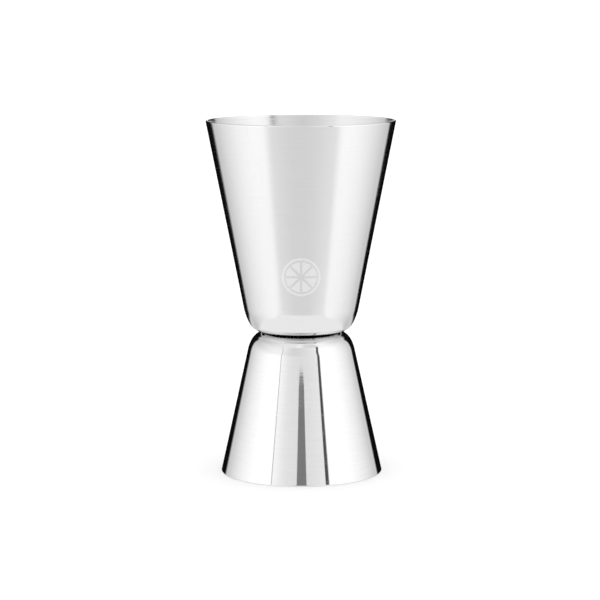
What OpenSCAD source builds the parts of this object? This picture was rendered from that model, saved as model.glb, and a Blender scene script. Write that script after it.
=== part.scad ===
// Double-ended bar jigger: two drawn stainless steel cups, welded base to base.
// It stands mouth down on the small cup. Millimetres, +Z up, origin at the
// middle of the rim that it stands on.

/* [Large cup] */
// Height of the large cup, from the plane where the cups meet to its rim
large_h = 51.5; // [40:0.1:70]
// Outer radius of the large cup's rim
large_rim_r = 23.15; // [19:0.05:30]
// Outer radius where the large cup's wall line would meet its base
large_heel_r = 13; // [12.5:0.05:16]
// Bend between the large cup's wall and base: radius next to the base
large_base_bend_r = 2.8; // [2:0.1:4]
// Bend between the large cup's wall and base: radius next to the wall
large_wall_bend_r = 15; // [4.1:0.1:18]
// Slope at which the large cup's two bends meet
large_bend_slope = 62; // [45:1:70]

/* [Small cup] */
// Height of the small cup, from the plane where the cups meet to its rim
small_h = 35; // [28:0.1:48]
// Outer radius of the small cup's rim
small_rim_r = 19.85; // [18:0.05:26]
// Outer radius where the small cup's wall line would meet its base
small_heel_r = 12.1; // [12:0.05:15]
// Bend between the small cup's wall and base: radius next to the base
small_base_bend_r = 4.5; // [2:0.1:4.6]
// Bend between the small cup's wall and base: radius next to the wall
small_wall_bend_r = 8.3; // [4.7:0.1:10]
// Slope at which the small cup's two bends meet
small_bend_slope = 61; // [50:1:65]

/* [Sheet] */
// Thickness of the steel
sheet_t = 0.6; // [0.5:0.05:1]
// Rounding of a rim's outer edge
lip_outer_r = 0.25; // [0.1:0.05:0.3]
// Rounding of a rim's inner edge
lip_inner_r = 0.12; // [0.05:0.01:0.15]

/* [Weld] */
// Radius of the raised pad on each base, where the cups touch
pad_r = 8; // [7:0.1:8.2]
// How far each pad stands out of its base
pad_h = 0.1; // [0.05:0.01:0.15]
// Number of spot welds
welds = 3; // [2:1:5]
// Radius of the circle that the welds lie on
weld_circle_r = 4.8; // [4:0.1:5]
// Radius of a weld nugget, in the plane where the cups touch
nugget_r = 2; // [1.5:0.1:2.2]
// Height of a weld nugget, through both sheets
nugget_h = 0.8; // [0.5:0.05:0.8]
// Radius of the mark that a welding electrode leaves inside a cup
electrode_mark_r = 2.3; // [1.8:0.1:2.4]
// Depth of that mark
electrode_mark_depth = 0.06; // [0.03:0.01:0.08]

/* [Hidden] */
WELD_NODES = [for (i = [1 : welds]) str("weld_nugget_", i)];
$fn = 96;

ARC_STEPS = 10;             // flats in each rounded stretch of a cup's section
NUGGET_FN = 180;            // flats in the circles that shape a nugget
CUT_MARGIN = 1;             // how far a cutting shape runs past what it cuts
waist_z = small_h;          // the plane where the two cups touch

// A cup is drawn mouth up, with its pad's face on z = 0 and its axis on x = 0.
// Going outwards, its section is pad, base, base bend, wall bend, wall and rim,
// each of the last five tangent to the next. Angles are measured from +X.

function unit(a) = [cos(a), sin(a)];
function arc(centre, r, from, to) =
    [for (i = [0 : ARC_STEPS]) centre + r * unit(from + (to - from) * i / ARC_STEPS)];
function after_first(points) = [for (i = [1 : len(points) - 1]) points[i]];
function reversed(points) = [for (i = [len(points) - 1 : -1 : 0]) points[i]];

// Centre of the bend next to the wall, its own radius inside the wall's line.
function wall_bend_centre(slope, heel_r, base_bend_r, wall_bend_r, bend_slope) =
    let (up = base_bend_r + (wall_bend_r - base_bend_r) * cos(bend_slope))
    [heel_r + (up * cos(slope) - wall_bend_r) / sin(slope), pad_h + up];

// The two bends of one face of the sheet, where inset is how far that face is
// inside the outer one.
function bends(wall_centre, base_bend_r, wall_bend_r, bend_slope, slope, inset) =
    let (base_centre = wall_centre + (wall_bend_r - base_bend_r) * unit(bend_slope - 90))
    concat(
        arc(base_centre, base_bend_r - inset, -90, bend_slope - 90),
        after_first(arc(wall_centre, wall_bend_r - inset, bend_slope - 90, slope - 90))
    );

// The rounded outer and inner edges of a rim, with the level land between them.
function rim(h, rim_r, slope) =
    let (inner_rim_r = rim_r - sheet_t / sin(slope),
         outer_centre = [rim_r - lip_outer_r / tan(slope / 2), h - lip_outer_r],
         inner_centre = [inner_rim_r + lip_inner_r * tan(slope / 2), h - lip_inner_r])
    concat(
        arc(outer_centre, lip_outer_r, slope - 90, 90),
        arc(inner_centre, lip_inner_r, 90, slope + 90)
    );

// Half section of a cup's sheet.
module cup_section(h, rim_r, heel_r, base_bend_r, wall_bend_r, bend_slope) {
    slope = atan2(h - pad_h, rim_r - heel_r);
    wall_centre = wall_bend_centre(slope, heel_r, base_bend_r, wall_bend_r, bend_slope);
    outer_bends = bends(wall_centre, base_bend_r, wall_bend_r, bend_slope, slope, 0);
    inner_bends = bends(wall_centre, base_bend_r, wall_bend_r, bend_slope, slope, sheet_t);
    polygon(concat(
        [[0, 0], [pad_r, 0], [pad_r, pad_h]],
        outer_bends,
        rim(h, rim_r, slope),
        reversed(inner_bends),
        [[0, pad_h + sheet_t]]
    ));
}

// The welds' places, evenly spaced on their circle, the first one at the front.
module at_weld(i) {
    rotate([0, 0, -90 + i * 360 / welds]) translate([weld_circle_r, 0, 0]) children();
}

// A nugget is a lens, centred on the plane where the cups touch.
module nugget() {
    face_r = (pow(nugget_r, 2) + pow(nugget_h / 2, 2)) / nugget_h;
    rotate_extrude()
        intersection() {
            translate([0, face_r - nugget_h / 2]) circle(face_r, $fn = NUGGET_FN);
            translate([0, nugget_h / 2 - face_r]) circle(face_r, $fn = NUGGET_FN);
            translate([0, -nugget_h]) square([nugget_r + CUT_MARGIN, 2 * nugget_h]);
        }
}

// The shallow hollow that an electrode's flat tip presses into a cup's inside.
module electrode_mark() {
    translate([0, 0, pad_h + sheet_t - electrode_mark_depth])
        cylinder(h = electrode_mark_depth + CUT_MARGIN, r = electrode_mark_r);
}

// A whole cup, with its welds' half of the hollows.
module cup(h, rim_r, heel_r, base_bend_r, wall_bend_r, bend_slope) {
    difference() {
        rotate_extrude() cup_section(h, rim_r, heel_r, base_bend_r, wall_bend_r, bend_slope);
        for (i = [0 : welds - 1]) {
            at_weld(i) nugget();
            at_weld(i) electrode_mark();
        }
    }
}

module large_cup() {
    color([0.80, 0.80, 0.79])
        translate([0, 0, waist_z])
            cup(large_h, large_rim_r, large_heel_r,
                large_base_bend_r, large_wall_bend_r, large_bend_slope);
}

module small_cup() {
    color([0.84, 0.84, 0.83])
        translate([0, 0, waist_z])
            mirror([0, 0, 1])
                cup(small_h, small_rim_r, small_heel_r,
                    small_base_bend_r, small_wall_bend_r, small_bend_slope);
}

module weld_nugget(i) {
    color([0.66, 0.64, 0.62])
        translate([0, 0, waist_z]) at_weld(i) nugget();
}

large_cup();
small_cup();
for (i = [0 : welds - 1])
    weld_nugget(i);
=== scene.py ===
"""Double-ended bar jigger of polished stainless steel, in a plain white studio.

The cups are turned from the same outlines as the CAD cups, with finer steps, so
that their mirror finish shows no facets. All lengths are in metres.
"""

import math

import bpy
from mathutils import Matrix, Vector


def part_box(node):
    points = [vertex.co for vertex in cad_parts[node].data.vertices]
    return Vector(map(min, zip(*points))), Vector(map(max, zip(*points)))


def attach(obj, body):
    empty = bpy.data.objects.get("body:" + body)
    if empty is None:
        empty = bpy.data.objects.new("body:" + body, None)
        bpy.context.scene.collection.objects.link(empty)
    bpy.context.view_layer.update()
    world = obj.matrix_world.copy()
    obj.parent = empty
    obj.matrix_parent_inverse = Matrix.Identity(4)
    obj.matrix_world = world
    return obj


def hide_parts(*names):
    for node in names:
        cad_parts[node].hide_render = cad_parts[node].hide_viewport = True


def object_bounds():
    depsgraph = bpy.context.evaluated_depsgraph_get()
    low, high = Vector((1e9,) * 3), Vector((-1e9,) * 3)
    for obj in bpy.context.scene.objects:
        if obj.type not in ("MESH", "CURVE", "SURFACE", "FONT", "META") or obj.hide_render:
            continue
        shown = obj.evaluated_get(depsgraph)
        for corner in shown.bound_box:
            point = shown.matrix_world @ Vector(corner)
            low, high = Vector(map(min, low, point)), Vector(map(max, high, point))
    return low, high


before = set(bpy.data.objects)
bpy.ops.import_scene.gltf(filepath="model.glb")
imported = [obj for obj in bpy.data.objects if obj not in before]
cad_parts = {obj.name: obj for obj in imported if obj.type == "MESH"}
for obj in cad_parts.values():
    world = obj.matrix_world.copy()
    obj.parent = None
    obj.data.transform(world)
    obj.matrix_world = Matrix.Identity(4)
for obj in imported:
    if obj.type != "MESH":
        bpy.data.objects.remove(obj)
cad_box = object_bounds()

MM = 0.001

# ---------------------------------------------------------------- dimensions

SHEET = 0.6 * MM
PAD_R = 8 * MM
PAD_H = 0.1 * MM
LIP_OUTER_R = 0.25 * MM
LIP_INNER_R = 0.12 * MM
MARK_R = 2.3 * MM
MARK_DEPTH = 0.06 * MM
MARK_SHOULDER = 0.35 * MM

LARGE = {
    "node": "large_cup",
    "slot": "large_cup_steel",
    "up": 1,
    "rim_r": 23.15 * MM,
    "heel_r": 13 * MM,
    "base_bend_r": 2.8 * MM,
    "wall_bend_r": 15 * MM,
    "bend_slope": math.radians(62),
}
SMALL = {
    "node": "small_cup",
    "slot": "small_cup_steel",
    "up": -1,
    "rim_r": 19.85 * MM,
    "heel_r": 12.1 * MM,
    "base_bend_r": 4.5 * MM,
    "wall_bend_r": 8.3 * MM,
    "bend_slope": math.radians(61),
}
WELDS = ["weld_nugget_1", "weld_nugget_2", "weld_nugget_3"]

SEGMENTS = 192          # round each cup
WALL_RINGS = 36         # along each wall
BEND_RINGS = 14         # round each bend
LIP_RINGS = 8           # round each edge of a rim
DISC_RING = 0.3 * MM    # between the rings of a flat base
SHARP_EDGE = math.radians(50)
SAME = 0.01 * MM        # two places closer than this are the same

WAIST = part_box("large_cup")[0][2]
HEIGHT = cad_box[1][2] - cad_box[0][2]


# ---------------------------------------------------------------- cup meshes

def unit(angle):
    return Vector((math.cos(angle), math.sin(angle)))


def arc(centre, r, start, end, steps):
    """Points round an arc, its ends included."""
    return [centre + r * unit(start + (end - start) * i / steps) for i in range(steps + 1)]


def straight(start, end, steps):
    """Points between two ends, which are left out. They lie closest near the ends."""
    def share(i):
        return (1 - math.cos(math.pi * i / steps)) / 2
    return [start.lerp(end, share(i)) for i in range(1, steps)]


def disc(r, z):
    """Points from the axis out to a radius, the outer end left out."""
    steps = math.ceil(r / DISC_RING)
    return [Vector((r * i / steps, z)) for i in range(steps)]


def bends(cup, slope, inset):
    """The two bends between base and wall, on the face that lies inset into the sheet."""
    base_r, wall_r, meet = cup["base_bend_r"], cup["wall_bend_r"], cup["bend_slope"]
    up = base_r + (wall_r - base_r) * math.cos(meet)
    out = cup["heel_r"] + (up * math.cos(slope) - wall_r) / math.sin(slope)
    wall_centre = Vector((out, PAD_H + up))
    right = math.pi / 2
    base_centre = wall_centre + (wall_r - base_r) * unit(meet - right)
    base_arc = arc(base_centre, base_r - inset, -right, meet - right, BEND_RINGS)
    wall_arc = arc(wall_centre, wall_r - inset, meet - right, slope - right, BEND_RINGS)
    return base_arc + wall_arc[1:]


def rim(cup, height, slope):
    """The rounded rim, from the outer wall over the land to the inner wall."""
    right = math.pi / 2
    inner_rim_r = cup["rim_r"] - SHEET / math.sin(slope)
    outer = Vector((cup["rim_r"] - LIP_OUTER_R / math.tan(slope / 2), height - LIP_OUTER_R))
    inner = Vector((inner_rim_r + LIP_INNER_R * math.tan(slope / 2), height - LIP_INNER_R))
    return (
        arc(outer, LIP_OUTER_R, slope - right, right, LIP_RINGS)
        + arc(inner, LIP_INNER_R, right, slope + right, LIP_RINGS)
    )


def cup_outlines(cup):
    """Outer and inner outline of a cup that stands mouth up on its pad."""
    low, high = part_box(cup["node"])
    height = high[2] - low[2]
    slope = math.atan2(height - PAD_H, cup["rim_r"] - cup["heel_r"])
    lip = rim(cup, height, slope)
    outer_bends = bends(cup, slope, 0)
    inner_bends = bends(cup, slope, SHEET)[::-1]
    outer = disc(PAD_R, 0) + [Vector((PAD_R, 0)), Vector((PAD_R, PAD_H))] + outer_bends
    outer += straight(outer_bends[-1], lip[0], WALL_RINGS) + lip
    inner = [lip[-1]] + straight(lip[-1], inner_bends[0], WALL_RINGS) + inner_bends
    inner += disc(inner_bends[-1].x, PAD_H + SHEET)[::-1]
    return outer, inner


def weld_centres():
    """Where the welds are, as plain pairs of numbers."""
    boxes = [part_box(node) for node in WELDS]
    return [((low[0] + high[0]) / 2, (low[1] + high[1]) / 2) for low, high in boxes]


WELD_CENTRES = weld_centres()
NUGGET_LOW, NUGGET_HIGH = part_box(WELDS[0])
NUGGET_R = (NUGGET_HIGH[0] - NUGGET_LOW[0]) / 2
NUGGET_HALF = (NUGGET_HIGH[2] - NUGGET_LOW[2]) / 2
NUGGET_BALL = (NUGGET_R ** 2 + NUGGET_HALF ** 2) / (2 * NUGGET_HALF)


def nugget_depth(distance):
    """How deep half a weld nugget reaches, at a distance from its middle."""
    if distance > NUGGET_R:
        return 0
    return math.sqrt(NUGGET_BALL ** 2 - distance ** 2) - (NUGGET_BALL - NUGGET_HALF)


def mark_depth(distance):
    """How deep a welding electrode's mark is, at a distance from its middle."""
    share = min(1, max(0, (MARK_R + MARK_SHOULDER - distance) / (2 * MARK_SHOULDER)))
    return MARK_DEPTH * share * share * (3 - 2 * share)


def dent(x, y, depth_at):
    return max(depth_at(math.hypot(x - cx, y - cy)) for cx, cy in WELD_CENTRES)


def turned_mesh(name, outline, up, dented):
    """A body of revolution, where dented gives the height that the welds add at a place."""
    points, faces, rings = [], [], []
    for r, z in outline:
        count = 1 if r < SAME else SEGMENTS
        rings.append(range(len(points), len(points) + count))
        for i in range(count):
            turn = 2 * math.pi * i / SEGMENTS
            x, y = r * math.cos(turn), r * math.sin(turn)
            points.append((x, y, WAIST + up * (z + dented(x, y, r, z))))
    for a, b in zip(rings, rings[1:]):
        for i in range(SEGMENTS):
            j = (i + 1) % SEGMENTS
            corners = [a[i % len(a)], a[j % len(a)], b[j % len(b)], b[i % len(b)]]
            corners = list(dict.fromkeys(corners))
            faces.append(corners if up > 0 else corners[::-1])
    mesh = bpy.data.meshes.new(name)
    mesh.from_pydata(points, [], faces)
    mesh.update()
    mesh.shade_smooth()
    mesh.set_sharp_from_angle(angle=SHARP_EDGE)
    return mesh


def make_cup(cup, outside, inside):
    """One cup as a closed mesh, with a finish outside and another inside."""
    outer, inner = cup_outlines(cup)

    def dented(x, y, r, z):
        if r <= PAD_R and z == 0:
            return dent(x, y, nugget_depth)
        if r <= PAD_R and abs(z - PAD_H - SHEET) < SAME:
            return -dent(x, y, mark_depth)
        return 0

    mesh = turned_mesh(cup["node"] + "_turned", outer + inner[1:], cup["up"], dented)
    mesh.materials.append(outside)
    mesh.materials.append(inside)
    # the inside finish starts half way round the rim's inner edge
    outer_faces = (len(outer) - 1 - LIP_RINGS // 2) * SEGMENTS
    for face in mesh.polygons[outer_faces:]:
        face.material_index = 1
    piece = bpy.data.objects.new(cup["node"] + "_turned", mesh)
    bpy.context.collection.objects.link(piece)
    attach(piece, "root")
    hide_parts(cup["node"])


# ---------------------------------------------------------------- shader nodes

class Tree:
    """Short names for the few kinds of node that the materials and the world use."""

    def __init__(self, tree):
        self.tree = tree

    def node(self, kind, **values):
        made = self.tree.nodes.new("ShaderNode" + kind)
        for key, value in values.items():
            setattr(made, key, value)
        return made

    def put(self, value, socket):
        if isinstance(value, bpy.types.NodeSocket):
            self.tree.links.new(value, socket)
        else:
            socket.default_value = value

    def math(self, operation, a, b=0.0, clamp=False):
        made = self.node("Math", operation=operation, use_clamp=clamp)
        self.put(a, made.inputs[0])
        self.put(b, made.inputs[1])
        return made.outputs[0]

    def add(self, a, b):
        return self.math("ADD", a, b)

    def times(self, a, b):
        return self.math("MULTIPLY", a, b)

    def less(self, a, b):
        return self.math("SUBTRACT", a, b)

    def positive(self, value):
        """The value where it is above 0, and 0 elsewhere."""
        return self.math("MAXIMUM", value, 0.0)

    def length(self, a, b):
        return self.math("SQRT", self.add(self.times(a, a), self.times(b, b)))

    def smooth(self, value, start, end, low=0.0, high=1.0):
        """Goes smoothly from low to high as the value goes from start to end."""
        made = self.node("MapRange", interpolation_type="SMOOTHSTEP")
        for socket, given in zip(made.inputs, (value, start, end, low, high)):
            self.put(given, socket)
        return made.outputs[0]

    def window(self, value, low, high, soft_low, soft_high):
        """1 between low and high and 0 outside them, with soft edges."""
        return self.times(
            self.smooth(value, self.less(low, soft_low), self.add(low, soft_low)),
            self.smooth(value, self.add(high, soft_high), self.less(high, soft_high)),
        )

    def blend(self, share, a, b):
        """a where share is 0 and b where it is 1, for plain numbers."""
        return self.add(a, self.times(share, self.less(b, a)))

    def gain(self, share, light, factor):
        """The light, multiplied by the factor where share is 1."""
        return self.times(light, self.blend(share, 1.0, factor))

    def split(self, vector):
        parts = self.node("SeparateXYZ")
        self.put(vector, parts.inputs[0])
        return parts.outputs

    def noise(self, place, detail, scale=1.0):
        made = self.node("TexNoise")
        self.put(place, made.inputs["Vector"])
        self.put(scale, made.inputs["Scale"])
        self.put(detail, made.inputs["Detail"])
        return made.outputs["Fac"]


# ---------------------------------------------------------------- materials

# The turned grain is a noise that is quick along the axis and slow round it.
GRAIN_ALONG = 3000          # its cells per metre, along the axis
GRAIN_AROUND = 2.5          # its cells per radian, round the axis
GRAIN_DETAIL = 3.0
GRAIN_ROUGHNESS = 1.2       # its effect, as a share of the steel's own roughness

SMEAR_SCALE = 90            # cells per metre of the smears that wiping leaves
SMEAR_DETAIL = 3.0
SMEAR_ROUGHNESS = 0.5
NOISE_MIDDLE = 0.5          # the middle of what a noise gives

# Each family of scratches: how its noise is turned, and its cells per metre.
SCRATCHES = [((0.5, 0.3, 0.0), 420), ((-0.9, 0.2, 1.1), 500), ((1.3, -0.6, 0.4), 460)]
SCRATCH_STRETCH = 0.06      # cells along the axis, as a share of those across it
SCRATCH_LEVEL = 0.66        # the level of the noise that a scratch follows
SCRATCH_WIDTH = 0.004       # as a difference in level
SCRATCH_ROUGHNESS = 0.1
SCRATCH_LOSS = 0.04

RIM_HIGHLIGHT_BAND = (0.45 * MM, 0.2 * MM)    # from a rim's plane: no painted highlight, full painted highlight
RIM_HIGHLIGHT_GAIN = 1.08             # a painted highlight: the rims' colour is made lighter

FROST_ROUGHNESS = 0.42
FROST_GAIN = 1.14
FROST_OUTLINE = 0.35        # darkening along the frosted emblem's edges

EMBLEM_Z = 50.1 * MM
EMBLEM_R = 4.7 * MM
EMBLEM_SLICES = 8
EMBLEM_SOFT = 0.06 * MM
PEEL_INNER = 0.88 * EMBLEM_R
FLESH_OUTER = 0.79 * EMBLEM_R
MEMBRANE = 0.04 * EMBLEM_R


def turned_grain(t, x, y, z):
    """Noise that follows the turning. Adding r to z makes it ring the flat bases too."""
    r = t.length(x, y)
    place = t.node("CombineXYZ")
    t.put(t.times(t.math("DIVIDE", x, r), GRAIN_AROUND), place.inputs[0])
    t.put(t.times(t.math("DIVIDE", y, r), GRAIN_AROUND), place.inputs[1])
    t.put(t.times(t.add(z, r), GRAIN_ALONG), place.inputs[2])
    return t.noise(place.outputs[0], GRAIN_DETAIL)


def rim_highlight_share(t, z):
    """1 on the rounded edges of both rims, where a highlight is painted into the colour and the
    grain bump is left out.
    """
    from_rim = t.math("MINIMUM", t.math("ABSOLUTE", z), t.math("ABSOLUTE", t.less(z, HEIGHT)))
    return t.smooth(from_rim, *RIM_HIGHLIGHT_BAND)


def scratches(t, place):
    """Hairline scratches: thin lines where a stretched noise crosses one level."""
    total = 0.0
    for turn, scale in SCRATCHES:
        spin = t.node("Mapping")
        spin.inputs["Rotation"].default_value = turn
        spin.inputs["Scale"].default_value = (scale, scale, SCRATCH_STRETCH * scale)
        t.put(place, spin.inputs["Vector"])
        from_level = t.math("ABSOLUTE", t.less(t.noise(spin.outputs[0], 0.0), SCRATCH_LEVEL))
        total = t.math("MAXIMUM", total, t.smooth(from_level, SCRATCH_WIDTH, 0.0))
    return total


def citrus_slice(t, x, y, z):
    """Mask of a citrus slice on the cup's front: a ring of peel and its segments."""
    across = t.times(t.length(x, y), t.math("ARCTAN2", x, t.times(y, -1.0)))
    up = t.less(z, EMBLEM_Z)
    out = t.length(across, up)
    peel = t.window(out, PEEL_INNER, EMBLEM_R, EMBLEM_SOFT, EMBLEM_SOFT)

    slice_angle = 2 * math.pi / EMBLEM_SLICES
    turn = t.math("ARCTAN2", up, across)
    from_middle = t.less(t.math("FLOORED_MODULO", turn, slice_angle), slice_angle / 2)
    to_edge = t.less(slice_angle / 2, t.math("ABSOLUTE", from_middle))
    to_membrane = t.times(out, t.math("SINE", to_edge))
    flesh = t.times(
        t.smooth(to_membrane, MEMBRANE, MEMBRANE + 2 * EMBLEM_SOFT),
        t.smooth(out, FLESH_OUTER + EMBLEM_SOFT, FLESH_OUTER - EMBLEM_SOFT),
    )
    return t.math("MAXIMUM", peel, flesh, clamp=True)


def tinted(t, colour, tone):
    """The colour, made lighter or darker by the tone."""
    mixed = t.node("Mix", data_type="RGBA", blend_type="MULTIPLY")
    t.put(1.0, mixed.inputs["Factor"])
    t.put((*colour, 1.0), mixed.inputs["A"])
    t.put(tone, mixed.inputs["B"])
    return mixed.outputs["Result"]


def bumped(t, height, depth):
    """The normal over a relief of the given depth in metres."""
    bump = t.node("Bump")
    bump.inputs["Strength"].default_value = 1.0
    bump.inputs["Distance"].default_value = depth
    t.put(height, bump.inputs["Height"])
    return bump.outputs[0]


def steel(name, colour, roughness, anisotropy, grain_depth, grain_tone, emblem=None):
    """Stainless steel with a turned grain, smears, scratches, a painted highlight on the rims and an
    emblem.
    """
    material = bpy.data.materials.new(name)
    material.use_nodes = True
    t = Tree(material.node_tree)
    shader = material.node_tree.nodes["Principled BSDF"]
    shader.inputs["Metallic"].default_value = 1.0
    shader.inputs["Anisotropic"].default_value = anisotropy

    place = t.node("TexCoord").outputs["Object"]
    x, y, z = t.split(place)
    grain = turned_grain(t, x, y, z)
    grain_offset = t.less(grain, NOISE_MIDDLE)
    smear_offset = t.less(t.noise(place, SMEAR_DETAIL, SMEAR_SCALE), NOISE_MIDDLE)
    scratch = scratches(t, place)
    # the rims' band, where a highlight is painted and the grain bump is left out
    rim = rim_highlight_share(t, z)

    rough = t.add(roughness, t.times(grain_offset, GRAIN_ROUGHNESS * roughness))
    rough = t.add(rough, t.times(smear_offset, SMEAR_ROUGHNESS * roughness))
    rough = t.add(rough, t.times(scratch, SCRATCH_ROUGHNESS))
    tone = t.add(1.0, t.times(grain_offset, grain_tone))
    tone = t.less(tone, t.times(scratch, SCRATCH_LOSS))
    # painted highlight: the colour is made lighter along the rims
    tone = t.blend(rim, tone, RIM_HIGHLIGHT_GAIN)
    if emblem:
        mask = emblem(t, x, y, z)
        rough = t.blend(mask, rough, FROST_ROUGHNESS)
        outline = t.times(t.times(mask, t.less(1.0, mask)), FROST_OUTLINE)
        tone = t.less(t.blend(mask, tone, FROST_GAIN), outline)

    tangent = t.node("Tangent", direction_type="RADIAL", axis="Z")
    t.put(tinted(t, colour, tone), shader.inputs["Base Color"])
    t.put(rough, shader.inputs["Roughness"])
    t.put(bumped(t, t.times(grain, t.less(1.0, rim)), grain_depth), shader.inputs["Normal"])
    t.put(tangent.outputs[0], shader.inputs["Tangent"])
    return material


# ---------------------------------------------------------------- studio

# One world shader gives the brightness of each direction, so the steel reflects
# the same studio from every side. "side" is degrees round from the front, plus to
# the right, "turn" is the same without its sign, and "up" is degrees above the
# horizon. A pair is where a change starts and where it is complete, and a gain
# multiplies. An edge's softness is half its width, and a pair of them is for the
# lower or left edge and for the upper or right one.
HORIZON = (-5, 5)

# The white cards on both sides, which fade towards the back
CARD_LIGHT = 1.30
CARD_LOSS = 0.54
CARD_FADE = (60, 128)
CARD_FADE_POWER = 1.5
CARD_HIGH_GAIN = 1.08
CARD_FOOT = (-20, -28)
CARD_FOOT_GAIN = 0.94
CARD_HEAD = (25, 50)
CARD_HEAD_GAIN = 0.88
LEFT_CARD = (0, -20)
LEFT_CARD_HEAD = (8, 24)
LEFT_CARD_GAIN = 0.84

# A soft shadow above the front panel, on its right
BROW_LOW, BROW_HIGH = 46, 68
BROW_SOFT = (2, 8)
BROW_TURN = (60, 40)
BROW_SIDE = (-15, 15)
BROW_GAIN = 0.72

# The lit wall high up behind, and the ceiling
BACK_LIGHT = 1.0
BACK_LOW, BACK_HIGH = 23, 60
BACK_SOFT = (4, 10)
BACK_TURN = (150, 166)
CEILING_LIGHT = 0.55
CEILING = (62, 90)

# The white table
TABLE_LIGHT = 1.08
TABLE_LOSS = 0.34
TABLE_FADE = (110, 180)
TABLE_BACK = (156, 176)
TABLE_BACK_GAIN = 0.5
TABLE_CORNER = (48, 62)     # where its edge leaves the front panel's foot
TABLE_DROP = -6.2           # how far its edge falls there
TABLE_SOFT = (0.3, 3.0)     # softness of its edge at the front and at the sides

# The plain front panel between the cards
FRONT_LIGHT = 0.86
FRONT_RISE = 0.16           # how much brighter it is next to the cards
FRONT_RISE_TURN = (5, 60)
FRONT_HIGH_GAIN = 1.12
FRONT_LEFT = -44.0
FRONT_RIGHT_LOW = 50.5      # its right edge below the horizon
FRONT_RIGHT_HIGH = 37.0     # and above it
FRONT_SOFT_LOW = 7.0
FRONT_SOFT_HIGH = 0.8
FRONT_TOP = 47.0
FRONT_TOP_SOFT = 1.5
FRONT_FOOT = -31.9
FRONT_FOOT_SOFT = 0.3
FRONT_FOOT_RISE = 3.55      # how much higher its foot is at FRONT_FOOT_TURN
FRONT_FOOT_TURN = 50.0
FRONT_SPREAD = (26, 48)     # its sides spread between these heights
FRONT_SPREAD_SHARE = 0.86
LEFT_GLOW = (-22, -50)
LEFT_GLOW_LIGHT = 0.16
LEFT_FRONT = (20, -20)
LEFT_FRONT_HEAD = (14, 24)
LEFT_FRONT_GAIN = 0.88

# The dark gap on the front panel's right, and the thin line on its left
GAP_LIGHT = 0.09
GAP_LEFT, GAP_RIGHT = 34.6, 40.0
GAP_SOFT = (0.6, 1.4)
GAP_TOP = (49, 46)
GAP_GLINT_LIGHT = 0.2       # it is a little lighter between these heights
GAP_GLINT_LOW, GAP_GLINT_HIGH = 18.0, 21.0
GAP_GLINT_SOFT = 1.0
LINE_LIGHT = 0.6
LINE_LEFT, LINE_RIGHT = -44.7, -43.3
LINE_SOFT = 0.4

# The camera's own reflection, a dark bar that widens downwards from a rounded top
LENS_LIGHT = 0.25
LENS_TOP = 15.19
LENS_TOP_SOFT = 0.1
LENS_SOFT = 0.3
LENS_HALF_WIDTH = 4.7
LENS_ROUND = 0.4            # how far down the rounding reaches
LENS_ROUND_POWER = 0.25
LENS_SPREAD = 0.8           # how much it widens with each degree down

# The black flags behind, on both sides of the white backdrop
FLAG_LIGHT = 0.004
FLAG_BACK = 177.0
FLAG_BACK_SOFT = 1.0
FLAG_RIGHT = 137.5
FLAG_RIGHT_SOFT = 3.0
FLAG_LEFT = -138.0
FLAG_LEFT_SOFT = 4.5
FLAG_LEAN = 0.15            # the right one's front edge leans back below FLAG_LEAN_UP
FLAG_LEAN_UP = -3.0
FLAG_TOP = 25.0
FLAG_FOOT = -19.5
FLAG_SOFT = (2.0, 4.0)
FLAG_FOOT_RISE = 0.5        # their foot rises beyond FLAG_FOOT_TURN
FLAG_FOOT_TURN = 157.0

BACKDROP_LIGHT = 1.05       # what the camera sees behind the object
ROOM_LIGHT = 1.26           # the even light that falls on the floor

FLOOR_SIZE = 8
FLOOR_GRID = 8
FLOOR_COLOUR = (0.92, 0.92, 0.92, 1)
FLOOR_ROUGHNESS = 0.9


class Way:
    """A direction in the studio, as shader sockets."""

    def __init__(self, t):
        x, y, z = t.split(t.node("TexCoord").outputs["Generated"])
        degrees = 180 / math.pi
        self.side = t.times(t.math("ARCTAN2", x, t.times(y, -1.0)), degrees)
        self.up = t.times(t.math("ARCSINE", z), degrees)
        self.turn = t.math("ABSOLUTE", self.side)
        self.above = t.smooth(self.up, *HORIZON)
        # the azimuth, narrowed where the front panel's sides spread
        self.across = t.times(self.side, t.smooth(self.up, *FRONT_SPREAD, 1.0, FRONT_SPREAD_SHARE))
        # how high the foot of the front panel is, lowest in the middle
        share = t.math("DIVIDE", self.turn, FRONT_FOOT_TURN, clamp=True)
        self.foot = t.add(t.times(t.times(share, share), FRONT_FOOT_RISE), FRONT_FOOT)


def card_light(t, way):
    """The side cards, with the shadow, the back wall and the ceiling above them."""
    near, far = CARD_FADE
    faded = t.math("DIVIDE", t.less(way.turn, near), far - near, clamp=True)
    light = t.less(CARD_LIGHT, t.times(CARD_LOSS, t.math("POWER", faded, CARD_FADE_POWER)))
    light = t.gain(way.above, light, CARD_HIGH_GAIN)
    left_head = t.times(t.smooth(way.side, *LEFT_CARD), t.smooth(way.up, *LEFT_CARD_HEAD))
    light = t.gain(left_head, light, LEFT_CARD_GAIN)
    brow = t.times(t.window(way.up, BROW_LOW, BROW_HIGH, *BROW_SOFT), t.smooth(way.turn, *BROW_TURN))
    light = t.gain(brow, light, t.smooth(way.side, *BROW_SIDE, 1.0, BROW_GAIN))
    back = t.times(t.smooth(way.turn, *BACK_TURN), t.window(way.up, BACK_LOW, BACK_HIGH, *BACK_SOFT))
    light = t.blend(back, light, BACK_LIGHT)
    light = t.gain(t.smooth(way.up, *CARD_FOOT), light, CARD_FOOT_GAIN)
    light = t.gain(t.smooth(way.up, *CARD_HEAD), light, CARD_HEAD_GAIN)
    return t.blend(t.smooth(way.up, *CEILING), light, CEILING_LIGHT)


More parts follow.
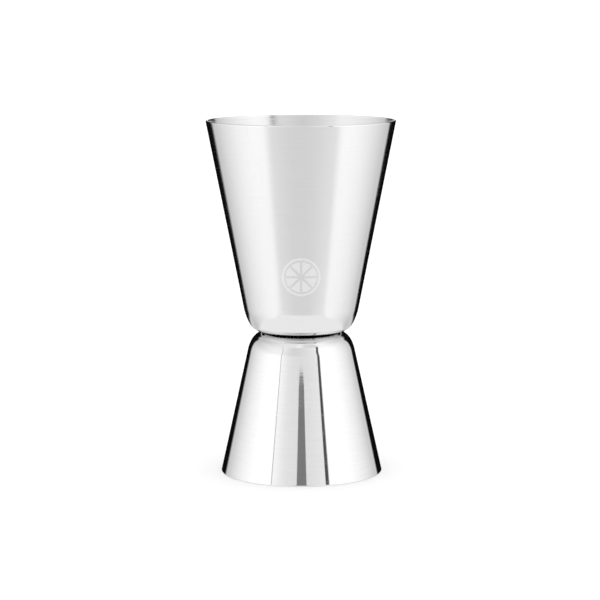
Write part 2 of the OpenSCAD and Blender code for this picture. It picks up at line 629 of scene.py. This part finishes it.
def add_table(t, way, light):
    """The table below everything, which the bends of both cups reflect."""
    table = t.less(TABLE_LIGHT, t.times(TABLE_LOSS, t.smooth(way.turn, *TABLE_FADE)))
    table = t.gain(t.smooth(way.turn, *TABLE_BACK), table, TABLE_BACK_GAIN)
    corner = t.smooth(way.turn, *TABLE_CORNER)
    edge = t.add(way.foot, t.times(corner, TABLE_DROP))
    soft = t.blend(corner, *TABLE_SOFT)
    share = t.smooth(way.up, t.add(edge, soft), t.less(edge, soft))
    return t.blend(share, light, table)


def front_light(t, way):
    """The front panel, a little brighter towards the cards."""
    light = t.add(FRONT_LIGHT, t.times(FRONT_RISE, t.smooth(way.turn, *FRONT_RISE_TURN)))
    light = t.gain(way.above, light, FRONT_HIGH_GAIN)
    glow = t.smooth(way.side, *LEFT_GLOW, 0.0, LEFT_GLOW_LIGHT)
    light = t.add(light, t.times(way.above, glow))
    left_head = t.times(t.smooth(way.side, *LEFT_FRONT), t.smooth(way.up, *LEFT_FRONT_HEAD))
    return t.gain(left_head, light, LEFT_FRONT_GAIN)


def add_front(t, way, light):
    """The front panel with its foot, its top and its two sides."""
    right = t.blend(way.above, FRONT_RIGHT_LOW, FRONT_RIGHT_HIGH)
    soft = t.blend(way.above, FRONT_SOFT_LOW, FRONT_SOFT_HIGH)
    sides = t.window(way.across, FRONT_LEFT, right, soft, soft)
    height = t.window(way.up, way.foot, FRONT_TOP, FRONT_FOOT_SOFT, FRONT_TOP_SOFT)
    return t.blend(t.times(sides, height), light, front_light(t, way))


def add_gaps(t, way, light):
    """The dark gap and the thin line along the front panel's sides."""
    tall = t.times(way.above, t.smooth(way.up, *GAP_TOP))
    glint = t.window(way.up, GAP_GLINT_LOW, GAP_GLINT_HIGH, GAP_GLINT_SOFT, GAP_GLINT_SOFT)
    gap = t.times(t.window(way.across, GAP_LEFT, GAP_RIGHT, *GAP_SOFT), tall)
    light = t.blend(gap, light, t.blend(glint, GAP_LIGHT, GAP_GLINT_LIGHT))
    # the line fades sooner than the gap towards the horizon
    fade = t.times(tall, way.above)
    line = t.times(t.window(way.across, LINE_LEFT, LINE_RIGHT, LINE_SOFT, LINE_SOFT), fade)
    return t.blend(line, light, LINE_LIGHT)


def add_lens(t, way, light):
    """The camera's own reflection."""
    drop = t.less(LENS_TOP, way.up)
    rounded = t.math("POWER", t.math("DIVIDE", drop, LENS_ROUND, clamp=True), LENS_ROUND_POWER)
    width = t.add(t.times(rounded, LENS_HALF_WIDTH), t.times(t.positive(drop), LENS_SPREAD))
    lens = t.times(
        t.smooth(t.less(width, way.turn), -LENS_SOFT, LENS_SOFT),
        t.smooth(drop, 0.0, LENS_TOP_SOFT),
    )
    return t.blend(t.times(lens, way.above), light, LENS_LIGHT)


def add_flags(t, way, light):
    """The two black flags."""
    lean = t.times(FLAG_LEAN, t.positive(t.less(FLAG_LEAN_UP, way.up)))
    right = t.window(way.side, t.add(FLAG_RIGHT, lean), FLAG_BACK, FLAG_RIGHT_SOFT, FLAG_BACK_SOFT)
    left = t.window(way.side, -FLAG_BACK, FLAG_LEFT, FLAG_BACK_SOFT, FLAG_LEFT_SOFT)
    rise = t.times(FLAG_FOOT_RISE, t.positive(t.less(way.turn, FLAG_FOOT_TURN)))
    height = t.window(way.up, t.add(FLAG_FOOT, rise), FLAG_TOP, *FLAG_SOFT)
    return t.blend(t.times(t.math("MAXIMUM", right, left), height), light, FLAG_LIGHT)


def build_world():
    world = bpy.data.worlds.new("studio")
    bpy.context.scene.world = world
    world.use_nodes = True
    t = Tree(world.node_tree)
    background = world.node_tree.nodes["Background"]
    background.inputs["Color"].default_value = (1, 1, 1, 1)

    way = Way(t)
    light = card_light(t, way)
    for add in (add_table, add_front, add_gaps, add_lens, add_flags):
        light = add(t, way, light)

    # reflections see the studio, the camera a white backdrop and the floor an even room
    camera_ray = t.node("LightPath").outputs["Is Camera Ray"]
    glossy_ray = t.node("LightPath").outputs["Is Glossy Ray"]
    light = t.blend(camera_ray, light, BACKDROP_LIGHT)
    light = t.blend(t.math("MAXIMUM", camera_ray, glossy_ray), ROOM_LIGHT, light)
    t.put(light, background.inputs["Strength"])


def build_floor():
    """A plain white floor, which the steel doesn't reflect: the studio has its own table."""
    bpy.ops.mesh.primitive_grid_add(
        x_subdivisions=FLOOR_GRID, y_subdivisions=FLOOR_GRID, size=FLOOR_SIZE,
    )
    floor = bpy.context.object
    floor.name = "floor"
    floor.location.z = cad_box[0][2]
    floor.visible_glossy = False
    material = bpy.data.materials.new("floor_white")
    material.use_nodes = True
    shader = material.node_tree.nodes["Principled BSDF"]
    shader.inputs["Base Color"].default_value = FLOOR_COLOUR
    shader.inputs["Roughness"].default_value = FLOOR_ROUGHNESS
    shader.inputs["Specular IOR Level"].default_value = 0
    floor.data.materials.append(material)


# ---------------------------------------------------------------- camera

CAMERA_BACK = 6.288 * HEIGHT
CAMERA_UP = 1.375 * HEIGHT
CAMERA_SIDE = -0.0014 * HEIGHT
CAMERA_TILT = math.radians(8.01)    # down
CAMERA_ROLL = math.radians(0.13)    # about the axis that runs from front to back
CAMERA_LENS = 134.3                 # millimetres
CAMERA_SENSOR = 36
CAMERA_CLIP = 0.01


def build_camera():
    data = bpy.data.cameras.new("camera")
    data.sensor_width = CAMERA_SENSOR
    data.lens = CAMERA_LENS
    data.clip_start = CAMERA_CLIP
    camera = bpy.data.objects.new("camera", data)
    bpy.context.collection.objects.link(camera)
    camera.location = (CAMERA_SIDE, -CAMERA_BACK, CAMERA_UP)
    camera.rotation_euler = (math.pi / 2 - CAMERA_TILT, CAMERA_ROLL, 0)
    bpy.context.scene.camera = camera


# ---------------------------------------------------------------- the jigger

def build_jigger():
    large_outside = steel(
        "large_cup_outside", colour=(0.75, 0.75, 0.75), roughness=0.09, anisotropy=0.5,
        grain_depth=0.0008 * MM, grain_tone=0.06, emblem=citrus_slice,
    )
    small_outside = steel(
        "small_cup_outside", colour=(0.75, 0.75, 0.75), roughness=0.036, anisotropy=0.5,
        grain_depth=0.001 * MM, grain_tone=0.07,
    )
    inside = steel(
        "cup_inside", colour=(0.68, 0.68, 0.68), roughness=0.20, anisotropy=0.3,
        grain_depth=0.003 * MM, grain_tone=0.2,
    )
    weld = steel(
        "weld_metal", colour=(0.62, 0.60, 0.58), roughness=0.35, anisotropy=0.0,
        grain_depth=0.002 * MM, grain_tone=0.2,
    )
    make_cup(LARGE, large_outside, inside)
    make_cup(SMALL, small_outside, inside)
    for node in WELDS:
        nugget = bpy.data.objects[node]
        nugget.data.materials.clear()
        nugget.data.materials.append(weld)


bpy.context.scene.view_settings.view_transform = "Standard"
build_camera()
build_world()
build_floor()
build_jigger()
